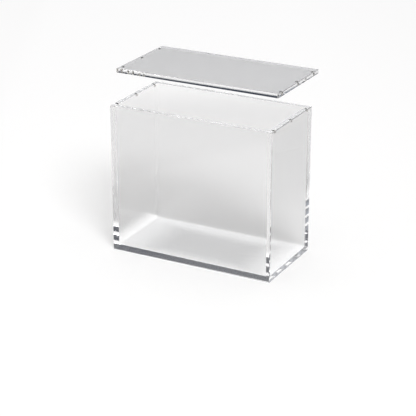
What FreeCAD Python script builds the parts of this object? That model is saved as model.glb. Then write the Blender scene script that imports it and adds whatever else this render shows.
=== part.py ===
import FreeCAD, Part
import os

# Clear acrylic display case: a box of five bonded panels, open at the top, and a flat lid that lifts off.
# Small round magnets in the side walls' top edges and in the lid's underside hold the lid shut.
# Millimetres. The origin is the centre of the base's underside, X runs along the width from left to right,
# +Y points to the back and +Z up. The lid is held open, above the rim and a little behind it.

# Clear space inside the case
inside_width = 191.4
inside_depth = 92.4
inside_height = 171.2

# Acrylic sheet, and the small chamfer polished on every outer edge. Cast sheet sold as 6 mm runs a little
# thin, and the lid is cut from a thinner sheet than the box.
wall_thickness = 5.8
base_thickness = 5.8
lid_thickness = 5.0
edge_break = 0.3

# Round magnets, glued into blind holes with their faces just below the acrylic
magnet_diameter = 3.0
magnet_length = 3.0
magnet_edge_break = 0.2
magnet_hole_clearance = 0.05
magnet_recess = 0.1
magnet_end_distance = 10.5

# Where the lid is held open, from where it lies shut
lid_lift = 34.5
lid_back_shift = 15.5

# Sizes that follow from those above
case_width = inside_width + 2 * wall_thickness
case_depth = inside_depth + 2 * wall_thickness
rim_height = base_thickness + inside_height
lid_underside = rim_height + lid_lift
magnet_hole_radius = magnet_diameter / 2 + magnet_hole_clearance
magnet_hole_depth = magnet_length + magnet_recess
wall_hole_floor = rim_height - magnet_hole_depth
lid_magnet_face = lid_underside + magnet_recess

# Magnet centres: over the middle of each side wall's thickness, near both ends and halfway along
magnet_side_x = {
    "left": (wall_thickness - case_width) / 2,
    "right": (case_width - wall_thickness) / 2,
}
magnet_row_y = {
    "front": magnet_end_distance - case_depth / 2,
    "middle": 0.0,
    "back": case_depth / 2 - magnet_end_distance,
}


def block(x_range, y_range, z_range):
    """A rectangular block between two corners."""
    low = FreeCAD.Vector(x_range[0], y_range[0], z_range[0])
    high = FreeCAD.Vector(x_range[1], y_range[1], z_range[1])
    size = high - low
    return Part.makeBox(size.x, size.y, size.z, low)


def with_broken_edges(solid):
    """The same solid with the edge break on all its edges."""
    return solid.makeChamfer(edge_break, solid.Edges)


def case_panels():
    """The five bonded panels: the side walls run the full depth, and all four walls stand on the base."""
    outer_x = case_width / 2
    outer_y = case_depth / 2
    inner_x = inside_width / 2
    inner_y = inside_depth / 2
    walls_z = (base_thickness, rim_height)
    blanks = {
        "base_panel": block((-outer_x, outer_x), (-outer_y, outer_y), (0, base_thickness)),
        "front_panel": block((-inner_x, inner_x), (-outer_y, -inner_y), walls_z),
        "back_panel": block((-inner_x, inner_x), (inner_y, outer_y), walls_z),
        "left_panel": block((-outer_x, -inner_x), (-outer_y, outer_y), walls_z),
        "right_panel": block((inner_x, outer_x), (-outer_y, outer_y), walls_z),
    }
    # The outer edges are broken on the box as a whole, so that the breaks run on from panel to panel
    envelope = with_broken_edges(block((-outer_x, outer_x), (-outer_y, outer_y), (0, rim_height)))
    return {name: blank.common(envelope).Solids[0] for name, blank in blanks.items()}


def magnet_holes(side, bottom, shift_y):
    """The row of blind holes for one side's magnets."""
    holes = []
    for row_y in magnet_row_y.values():
        foot = FreeCAD.Vector(magnet_side_x[side], row_y + shift_y, bottom)
        holes.append(Part.makeCylinder(magnet_hole_radius, magnet_hole_depth, foot))
    return holes


def magnet(x, y, bottom):
    """One round upright magnet, with its two rims broken."""
    solid = Part.makeCylinder(magnet_diameter / 2, magnet_length, FreeCAD.Vector(x, y, bottom))
    rims = [edge for edge in solid.Edges if isinstance(edge.Curve, Part.Circle)]
    return solid.makeChamfer(magnet_edge_break, rims)


def lid_plate():
    """The flat lid, as wide and deep as the case."""
    return with_broken_edges(
        block(
            (-case_width / 2, case_width / 2),
            (lid_back_shift - case_depth / 2, lid_back_shift + case_depth / 2),
            (lid_underside, lid_underside + lid_thickness),
        )
    )


pieces = case_panels()
pieces["lid_panel"] = lid_plate()

# A wall magnet stands on its hole's floor, with its top just below the rim. A lid magnet is pushed up to
# its hole's roof, with its lower face just above the lid's underside.
for side, side_x in magnet_side_x.items():
    wall_name = side + "_panel"
    wall_holes = magnet_holes(side, wall_hole_floor, 0.0)
    lid_holes = magnet_holes(side, lid_underside, lid_back_shift)
    pieces[wall_name] = pieces[wall_name].cut(wall_holes).Solids[0]
    pieces["lid_panel"] = pieces["lid_panel"].cut(lid_holes).Solids[0]
    for row, row_y in magnet_row_y.items():
        pieces[side + "_wall_magnet_" + row] = magnet(side_x, row_y, wall_hole_floor)
        pieces[side + "_lid_magnet_" + row] = magnet(side_x, row_y + lid_back_shift, lid_magnet_face)

os.makedirs("parts", exist_ok=True)
for name, shape in pieces.items():
    shape.exportStep("parts/" + name + ".step")
    print(name, "valid" if shape.isValid() else "NOT VALID", round(shape.Volume, 2))
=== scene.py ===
import bmesh
import bpy
import math
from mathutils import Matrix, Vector


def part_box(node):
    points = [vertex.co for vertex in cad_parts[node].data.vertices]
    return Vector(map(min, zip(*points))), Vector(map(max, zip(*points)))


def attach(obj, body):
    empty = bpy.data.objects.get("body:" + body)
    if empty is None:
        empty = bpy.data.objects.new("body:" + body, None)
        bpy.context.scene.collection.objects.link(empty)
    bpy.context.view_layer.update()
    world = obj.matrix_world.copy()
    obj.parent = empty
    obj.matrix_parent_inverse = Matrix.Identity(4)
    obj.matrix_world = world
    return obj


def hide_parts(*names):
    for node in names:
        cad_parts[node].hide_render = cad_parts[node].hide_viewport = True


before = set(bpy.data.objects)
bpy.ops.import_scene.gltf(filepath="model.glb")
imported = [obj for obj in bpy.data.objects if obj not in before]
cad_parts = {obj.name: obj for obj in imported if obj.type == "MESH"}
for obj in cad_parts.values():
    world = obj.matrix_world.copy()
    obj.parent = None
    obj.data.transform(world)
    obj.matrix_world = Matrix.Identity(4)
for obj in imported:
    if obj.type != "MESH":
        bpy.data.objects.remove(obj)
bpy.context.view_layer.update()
scene = bpy.context.scene

# Sizes in metres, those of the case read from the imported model
MM = 0.001
WALL_NODES = ("front_panel", "back_panel", "left_panel", "right_panel")
OUTSIDE_X, OUTSIDE_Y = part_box("base_panel")[1].x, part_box("base_panel")[1].y
INSIDE_X, INSIDE_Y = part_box("right_panel")[0].x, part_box("back_panel")[0].y
EDGE_BREAK = 0.3 * MM
SAME_PLACE = 0.01 * MM
SAME_PLANE = math.radians(0.5)

# The photograph's viewing direction
AZIMUTH = math.radians(28.07)
ELEVATION = math.radians(22.25)


def linear(hex_colour):
    """An sRGB hex colour as the linear RGBA that a shader socket takes."""
    channels = [int(hex_colour[i : i + 2], 16) / 255 for i in (1, 3, 5)]
    return [c / 12.92 if c <= 0.04045 else ((c + 0.055) / 1.055) ** 2.4 for c in channels] + [1.0]


def add_node(tree, kind, settings=None, **inputs):
    """Adds a node, sets its properties, and sets or links its inputs, named by word or by number."""
    node = tree.nodes.new(kind)
    for name, value in (settings or {}).items():
        setattr(node, name, value)
    for name, value in inputs.items():
        key = int(name[1:]) if name[0] == "_" else name.replace("_", " ")
        socket = node.inputs[key]
        if isinstance(value, bpy.types.NodeSocket):
            tree.links.new(value, socket)
        else:
            socket.default_value = value
    return node


def new_material(name):
    """A material with an empty node tree."""
    material = bpy.data.materials.new(name)
    material.use_nodes = True
    material.node_tree.nodes.clear()
    return material, material.node_tree


# Settings that many nodes share
EASED = {"interpolation_type": "SMOOTHSTEP"}
COLOURS = {"data_type": "RGBA"}

# Cast acrylic is as clear as optical glass, and bends light a little less
ACRYLIC_TINT = "#FEFEFE"
ACRYLIC_IOR = 1.491


def cast_acrylic_face():
    """Cast acrylic sheet as it left the glass mould: water-clear, mirror smooth, barely dulled by wiping."""
    wipe_mark, most_haze = 28 * MM, 0.004
    material, tree = new_material("cast_acrylic_glossy_face")
    place = add_node(tree, "ShaderNodeTexCoord").outputs["Object"]
    wiped = add_node(tree, "ShaderNodeTexNoise", Vector=place, Scale=1 / wipe_mark, Detail=3.0)
    haze = add_node(
        tree, "ShaderNodeMapRange", Value=wiped.outputs["Fac"], From_Min=0.5, From_Max=0.8, To_Max=most_haze
    )
    acrylic = add_node(
        tree,
        "ShaderNodeBsdfPrincipled",
        Base_Color=linear(ACRYLIC_TINT),
        Roughness=haze.outputs["Result"],
        IOR=ACRYLIC_IOR,
        Transmission_Weight=1.0,
    )
    add_node(tree, "ShaderNodeOutputMaterial", Surface=acrylic.outputs["BSDF"])
    return material


def diamond_polished_edge(axis):
    """Sheet edge milled square and diamond polished along its length: clear, with faint streaks along it.

    Real streaks lie about 0.1 mm apart. They are drawn 0.9 mm apart, because finer ones don't show.
    """
    streak_spacing, streak_length, streak_depth = 0.9 * MM, 500 * MM, 0.0005 * MM
    material, tree = new_material("acrylic_diamond_polished_edge_" + "xyz"[axis])
    place = add_node(tree, "ShaderNodeTexCoord").outputs["Object"]
    spacing = [1 / streak_spacing] * 3
    spacing[axis] = 1 / streak_length
    streaks = add_node(tree, "ShaderNodeVectorMath", {"operation": "MULTIPLY"}, _0=place, _1=spacing)
    cut = add_node(tree, "ShaderNodeTexNoise", Vector=streaks.outputs["Vector"], Scale=1.0, Detail=2.0)
    relief = add_node(tree, "ShaderNodeBump", Height=cut.outputs["Fac"], Distance=streak_depth, Strength=1.0)
    acrylic = add_node(
        tree,
        "ShaderNodeBsdfPrincipled",
        Base_Color=linear(ACRYLIC_TINT),
        Roughness=0.01,
        IOR=ACRYLIC_IOR,
        Transmission_Weight=1.0,
        Normal=relief.outputs["Normal"],
    )
    add_node(tree, "ShaderNodeOutputMaterial", Surface=acrylic.outputs["BSDF"])
    return material


def drilled_hole():
    """Drilled acrylic: the bit leaves a frosted wall, so the hole shows as a pale sleeve in the clear sheet."""
    chatter, least_frost, most_frost = 0.4 * MM, 0.25, 0.55
    material, tree = new_material("acrylic_frosted_drilled_hole")
    place = add_node(tree, "ShaderNodeTexCoord").outputs["Object"]
    torn = add_node(tree, "ShaderNodeTexNoise", Vector=place, Scale=1 / chatter, Detail=2.0)
    frost = add_node(
        tree, "ShaderNodeMapRange", Value=torn.outputs["Fac"], To_Min=least_frost, To_Max=most_frost
    )
    acrylic = add_node(
        tree,
        "ShaderNodeBsdfPrincipled",
        Base_Color=linear("#FFFFFF"),
        Roughness=frost.outputs["Result"],
        IOR=ACRYLIC_IOR,
        Transmission_Weight=1.0,
    )
    add_node(tree, "ShaderNodeOutputMaterial", Surface=acrylic.outputs["BSDF"])
    return material


def solvent_bond():
    """A solvent-welded joint: the two sheets are one clear body there, but for pin bubbles that glint."""
    bubble_spacing, bubble_radius = 40 * MM, 0.2 * MM
    material, tree = new_material("acrylic_solvent_bond")
    place = add_node(tree, "ShaderNodeTexCoord").outputs["Object"]
    cells = add_node(tree, "ShaderNodeTexVoronoi", Vector=place, Scale=1 / bubble_spacing)
    bubble = add_node(
        tree,
        "ShaderNodeMath",
        {"operation": "LESS_THAN"},
        _0=cells.outputs["Distance"],
        _1=bubble_radius / bubble_spacing,
    )
    clear = add_node(tree, "ShaderNodeBsdfTransparent")
    air = add_node(tree, "ShaderNodeBsdfAnisotropic", Color=linear("#F4F5F5"), Roughness=0.3)
    joint = add_node(
        tree, "ShaderNodeMixShader", _0=bubble.outputs[0], _1=clear.outputs["BSDF"], _2=air.outputs["BSDF"]
    )
    add_node(tree, "ShaderNodeOutputMaterial", Surface=joint.outputs["Shader"])
    return material


def nickel_plating():
    """Bright nickel plated over a pressed and sintered magnet: silvery, slightly warm, softly grained."""
    grain, grain_depth, tarnish = 0.25 * MM, 0.01 * MM, 1.6 * MM
    material, tree = new_material("bright_nickel_plating")
    place = add_node(tree, "ShaderNodeTexCoord").outputs["Object"]
    worn = add_node(tree, "ShaderNodeTexNoise", Vector=place, Scale=1 / tarnish, Detail=3.0)
    colour = add_node(
        tree, "ShaderNodeMix", COLOURS, _0=worn.outputs["Fac"], _6=linear("#DAD6CD"), _7=linear("#B9B4AA")
    )
    polish = add_node(tree, "ShaderNodeMapRange", Value=worn.outputs["Fac"], To_Min=0.12, To_Max=0.34)
    pressed = add_node(tree, "ShaderNodeTexNoise", Vector=place, Scale=1 / grain, Detail=2.0)
    relief = add_node(
        tree, "ShaderNodeBump", Height=pressed.outputs["Fac"], Distance=grain_depth, Strength=0.6
    )
    metal = add_node(
        tree,
        "ShaderNodeBsdfPrincipled",
        Base_Color=colour.outputs[2],
        Metallic=1.0,
        Roughness=polish.outputs["Result"],
        Normal=relief.outputs["Normal"],
    )
    add_node(tree, "ShaderNodeOutputMaterial", Surface=metal.outputs["BSDF"])
    return material


# The order of the finishes on every acrylic panel: the last three are edges, by the axis that they run along
FACE, BOND, HOLE, EDGE = 0, 1, 2, 3
acrylic_finishes = [cast_acrylic_face(), solvent_bond(), drilled_hole()]
acrylic_finishes += [diamond_polished_edge(axis) for axis in range(3)]
nickel = nickel_plating()


def bonded(point, normal, own_node):
    """True if a face with this middle and normal is welded to another panel of the case."""
    look_ahead = 0.5 * MM
    ahead = point + normal * look_ahead
    for node in ("base_panel",) + WALL_NODES:
        low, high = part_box(node)
        if node != own_node and all(low[i] < ahead[i] < high[i] for i in range(3)):
            return True
    return False


def finish_of(face, node, sheet_axis):
    """Which finish a face of a panel has, from where it lies on the sheet."""
    square_on = 0.9
    low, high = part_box(node)
    middle = face.calc_center_bounds()
    depth = min(min(middle[i] - low[i], high[i] - middle[i]) for i in range(3))
    if depth > EDGE_BREAK:
        return HOLE
    if node != "lid_panel" and bonded(face.calc_center_median(), face.normal, node):
        return BOND
    if abs(face.normal[sheet_axis]) > square_on:
        return FACE
    spans = [max(v.co[i] for v in face.verts) - min(v.co[i] for v in face.verts) for i in range(3)]
    return EDGE + spans.index(max(spans))


def dressed_panel(node, body, sheet_axis, cuts):
    """The panel's own solid, with its faces split along the joints so that each takes its own finish."""
    work = bmesh.new()
    work.from_mesh(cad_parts[node].data)
    bmesh.ops.remove_doubles(work, verts=work.verts, dist=SAME_PLACE)
    bmesh.ops.dissolve_limit(work, angle_limit=SAME_PLANE, verts=work.verts, edges=work.edges)
    for place, normal in cuts:
        geometry = work.verts[:] + work.edges[:] + work.faces[:]
        bmesh.ops.bisect_plane(work, geom=geometry, plane_co=place, plane_no=normal, dist=SAME_PLACE)
    for face in work.faces:
        face.material_index = finish_of(face, node, sheet_axis)
        face.smooth = False
    mesh = bpy.data.meshes.new(node + "_acrylic")
    work.to_mesh(mesh)
    work.free()
    for finish in acrylic_finishes:
        mesh.materials.append(finish)
    piece = bpy.data.objects.new(node + "_acrylic", mesh)
    scene.collection.objects.link(piece)
    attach(piece, body)
    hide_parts(node)


# The case and its lid. A sheet's axis is the one across its thickness.
X_AXIS, Y_AXIS, Z_AXIS = 0, 1, 2
side_joints = [((side * INSIDE_X, 0, 0), (1, 0, 0)) for side in (-1, 1)]
end_joints = [((0, side * INSIDE_Y, 0), (0, 1, 0)) for side in (-1, 1)]
dressed_panel("base_panel", "case", Z_AXIS, side_joints + end_joints)
dressed_panel("front_panel", "case", Y_AXIS, [])
dressed_panel("back_panel", "case", Y_AXIS, [])
dressed_panel("left_panel", "case", X_AXIS, end_joints)
dressed_panel("right_panel", "case", X_AXIS, end_joints)
dressed_panel("lid_panel", "lid", Z_AXIS, [])

for name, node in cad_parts.items():
    if "_magnet_" in name:
        node.data.materials.clear()
        node.data.materials.append(nickel)


# Stage: a pale table with painted light under and round the case, cards that paint dark reflections beside it,
# two broad far lights and a dim room
TABLE_HALF = 4.0
TABLE_DROP = 0.02 * MM

# How much the table glows: evenly to the camera, and as painted light seen only in clear acrylic and metal, in
# the middle of the case's outline,
# under its walls, round it and far off: a painted pool of light under the walls and painted shade round the
# case. The reaches are the distances at which the far glow starts and is full.
# The shares are of the way from the middle to the outline.
CAMERA_GLOW = 0.42
INSIDE_GLOW, WALL_GLOW, NEAR_GLOW, FAR_GLOW = 0.55, 0.86, 0.24, 0.38
NEAR_REACH, FAR_REACH = 0.50, 0.66
INSIDE_SHARE, WALL_SHARE, OUTSIDE_SHARE = 0.40, 0.90, 1.35


def flat_sheet(name, corners, material):
    """A flat four-cornered piece of the stage."""
    mesh = bpy.data.meshes.new(name)
    mesh.from_pydata([tuple(corner) for corner in corners], [], [(0, 1, 2, 3)])
    mesh.materials.append(material)
    sheet = bpy.data.objects.new(name, mesh)
    scene.collection.objects.link(sheet)


def table_top():
    """Satin white table top, evenly white to the camera; in clear acrylic and metal it shows a painted pool of
    light, brightest under the walls, and painted shade round the case.
    """
    material, tree = new_material("satin_white_table_painted_light")
    rays = add_node(tree, "ShaderNodeLightPath").outputs
    place = add_node(tree, "ShaderNodeTexCoord").outputs["Object"]
    distance = add_node(tree, "ShaderNodeVectorMath", {"operation": "LENGTH"}, _0=place)
    # Painted shade round the case: the glow seen in clear pieces is lowest near the case and rises far off
    painted_shade_round_case = add_node(
        tree,
        "ShaderNodeMapRange",
        EASED,
        Value=distance.outputs["Value"],
        From_Min=NEAR_REACH,
        From_Max=FAR_REACH,
        To_Min=NEAR_GLOW,
        To_Max=FAR_GLOW,
    )
    outline = (1 / OUTSIDE_X, 1 / OUTSIDE_Y, 0)
    shares = add_node(tree, "ShaderNodeVectorMath", {"operation": "MULTIPLY"}, _0=place, _1=outline)
    shares = add_node(tree, "ShaderNodeVectorMath", {"operation": "ABSOLUTE"}, _0=shares.outputs["Vector"])
    shares = add_node(tree, "ShaderNodeSeparateXYZ", Vector=shares.outputs["Vector"]).outputs
    share = add_node(tree, "ShaderNodeMath", {"operation": "MAXIMUM"}, _0=shares["X"], _1=shares["Y"])
    # Painted pool of light under the case's outline, brightest under the walls
    painted_pool_under_case = add_node(
        tree,
        "ShaderNodeMapRange",
        EASED,
        Value=share.outputs["Value"],
        From_Min=INSIDE_SHARE,
        From_Max=WALL_SHARE,
        To_Min=INSIDE_GLOW,
        To_Max=WALL_GLOW,
    )
    glow = add_node(
        tree,
        "ShaderNodeMapRange",
        EASED,
        Value=share.outputs["Value"],
        From_Min=1.0,
        From_Max=OUTSIDE_SHARE,
        To_Min=painted_pool_under_case.outputs["Result"],
        To_Max=painted_shade_round_case.outputs["Result"],
    )
    # Only reflections and refraction show the painted light; the camera sees the table evenly white
    seen_in_pieces = add_node(
        tree,
        "ShaderNodeMath",
        {"operation": "MAXIMUM"},
        _0=rays["Is Glossy Ray"],
        _1=rays["Is Transmission Ray"],
    )
    glow = add_node(
        tree,
        "ShaderNodeMath",
        {"operation": "MULTIPLY"},
        _0=seen_in_pieces.outputs["Value"],
        _1=glow.outputs["Result"],
    )
    glow = add_node(
        tree,
        "ShaderNodeMath",
        {"operation": "MULTIPLY_ADD"},
        _0=rays["Is Camera Ray"],
        _1=CAMERA_GLOW,
        _2=glow.outputs["Value"],
    )
    surface = add_node(
        tree,
        "ShaderNodeBsdfPrincipled",
        Base_Color=linear("#C4C4C4"),
        Roughness=0.3,
        IOR=1.25,
        Emission_Color=linear("#FFFFFF"),
        Emission_Strength=glow.outputs["Value"],
    )
    add_node(tree, "ShaderNodeOutputMaterial", Surface=surface.outputs["BSDF"])
    return material


def painted_dark_reflection(across, soft_from, soft_to):
    """Painted dark reflection: a card that only the outer faces mirror once, unseen by the camera and by light,
    so that the panels show where the white table ends.
    """
    material, tree = new_material("painted_dark_reflection")
    rays = add_node(tree, "ShaderNodeLightPath").outputs
    once = add_node(
        tree, "ShaderNodeMath", {"operation": "COMPARE"}, _0=rays["Glossy Depth"], _1=1.0, _2=0.1
    )
    outside = add_node(
        tree, "ShaderNodeMath", {"operation": "LESS_THAN"}, _0=rays["Transmission Depth"], _1=0.5
    )
    mirrored = add_node(
        tree,
        "ShaderNodeMath",
        {"operation": "MULTIPLY"},
        _0=once.outputs["Value"],
        _1=outside.outputs["Value"],
    )
    place = add_node(tree, "ShaderNodeTexCoord").outputs["Object"]
    away = add_node(tree, "ShaderNodeVectorMath", {"operation": "DOT_PRODUCT"}, _0=place, _1=across)
    fade = add_node(
        tree, "ShaderNodeMapRange", EASED, Value=away.outputs["Value"], From_Min=soft_from, From_Max=soft_to
    )
    seen = add_node(
        tree,
        "ShaderNodeMath",
        {"operation": "MULTIPLY"},
        _0=mirrored.outputs["Value"],
        _1=fade.outputs["Result"],
    )
    clear = add_node(tree, "ShaderNodeBsdfTransparent")
    # Painted dark reflection colour, shown only where an outer face mirrors the card once
    dark = add_node(tree, "ShaderNodeEmission", Color=linear("#3A3D45"))
    card = add_node(
        tree,
        "ShaderNodeMixShader",
        _0=seen.outputs["Value"],
        _1=clear.outputs["BSDF"],
        _2=dark.outputs["Emission"],
    )
    add_node(tree, "ShaderNodeOutputMaterial", Surface=card.outputs["Shader"])
    return material


def side_card(name, side, soft_from, soft_to):
    """A card on the table on one side of the camera's line that paints a dark reflection into the panels,
    fading in away from the case.
    """
    width, half_length, lift = 1.8, 1.5, 0.5 * MM
    across = Vector((math.cos(AZIMUTH), math.sin(AZIMUTH), 0)) * side
    along = Vector((-math.sin(AZIMUTH), math.cos(AZIMUTH), 0)) * half_length
    inner = Vector((0, 0, lift))
    outer = inner + across * width
    corners = [inner - along, outer - along, outer + along, inner + along]
    flat_sheet(name, corners, painted_dark_reflection(across, soft_from, soft_to))


def far_light(name, place, spread, strength):
    """A broad light so far off that it falls evenly on the whole table."""
    lamp = bpy.data.lights.new(name, "SUN")
    lamp.angle = math.radians(spread)
    lamp.energy = strength
    light = bpy.data.objects.new(name, lamp)
    light.location = place
    light.rotation_mode = "QUATERNION"
    light.rotation_quaternion = (-Vector(place)).to_track_quat("-Z", "Y")
    scene.collection.objects.link(light)


def dim_room():
    """A room dark behind the table and paler in front and overhead, so that clear edges get dark lines.

    The camera itself sees it white. The limits are parts of a viewing direction of length 1.
    """
    dark_below, pale_above = 0.34, 0.62
    pale_front, dark_back = -0.5, 0.3
    world = bpy.data.worlds.new("dim_room")
    scene.world = world
    world.use_nodes = True
    tree = world.node_tree
    tree.nodes.clear()
    rays = add_node(tree, "ShaderNodeLightPath").outputs
    way = add_node(tree, "ShaderNodeTexCoord").outputs["Generated"]
    way = add_node(tree, "ShaderNodeSeparateXYZ", Vector=way).outputs
    backward = add_node(
        tree, "ShaderNodeMapRange", EASED, Value=way["Y"], From_Min=pale_front, From_Max=dark_back
    )
    upward = add_node(
        tree, "ShaderNodeMapRange", EASED, Value=way["Z"], From_Min=dark_below, From_Max=pale_above
    )
    around = add_node(
        tree,
        "ShaderNodeMix",
        COLOURS,
        _0=backward.outputs["Result"],
        _6=linear("#A2A6AE"),
        _7=linear("#333947"),
    )
    room = add_node(
        tree, "ShaderNodeMix", COLOURS, _0=upward.outputs["Result"], _6=around.outputs[2], _7=linear("#D4D2D0")
    )
    seen = add_node(
        tree, "ShaderNodeMix", COLOURS, _0=rays["Is Camera Ray"], _6=room.outputs[2], _7=linear("#FFFFFF")
    )
    walls = add_node(tree, "ShaderNodeBackground", Color=seen.outputs[2])
    add_node(tree, "ShaderNodeOutputWorld", Surface=walls.outputs["Background"])


table_corners = [(x * TABLE_HALF, y * TABLE_HALF, -TABLE_DROP) for x, y in ((-1, -1), (1, -1), (1, 1), (-1, 1))]
flat_sheet("studio_table", table_corners, table_top())
side_card("left_painted_reflection_card", side=-1, soft_from=0.29, soft_to=0.34)
side_card("right_painted_reflection_card", side=1, soft_from=0.12, soft_to=0.40)
far_light("top_light", place=(0.0, 0.3, 2.2), spread=80, strength=0.5)
far_light("key_light", place=(1.25, -1.1, 1.6), spread=22, strength=2.0)
dim_room()

# Camera at the photograph's angle, aimed a little to the side of the origin and above it
DISTANCE, AIM_RIGHT, AIM_UP = 1.7446, -0.00318, 0.04843
camera_data = bpy.data.cameras.new("camera")
camera_data.sensor_width = 36.0
camera_data.lens = 128.5
camera_data.clip_start, camera_data.clip_end = 0.05, 20.0
camera = bpy.data.objects.new("camera", camera_data)
scene.collection.objects.link(camera)
level_back = Vector((math.sin(AZIMUTH), -math.cos(AZIMUTH), 0))
back = level_back * math.cos(ELEVATION) + Vector((0, 0, math.sin(ELEVATION)))
right = Vector((0, 0, 1)).cross(back).normalized()
up = back.cross(right)
camera.location = right * AIM_RIGHT + up * AIM_UP + back * DISTANCE
camera.rotation_mode = "QUATERNION"
camera.rotation_quaternion = (-back).to_track_quat("-Z", "Y")
scene.camera = camera

# Light runs a long way inside clear sheet, from face to face, before it leaves at an edge
scene.view_settings.view_transform = "Standard"
scene.cycles.max_bounces = 40
scene.cycles.glossy_bounces = 32
scene.cycles.transmission_bounces = 32
scene.cycles.transparent_max_bounces = 32
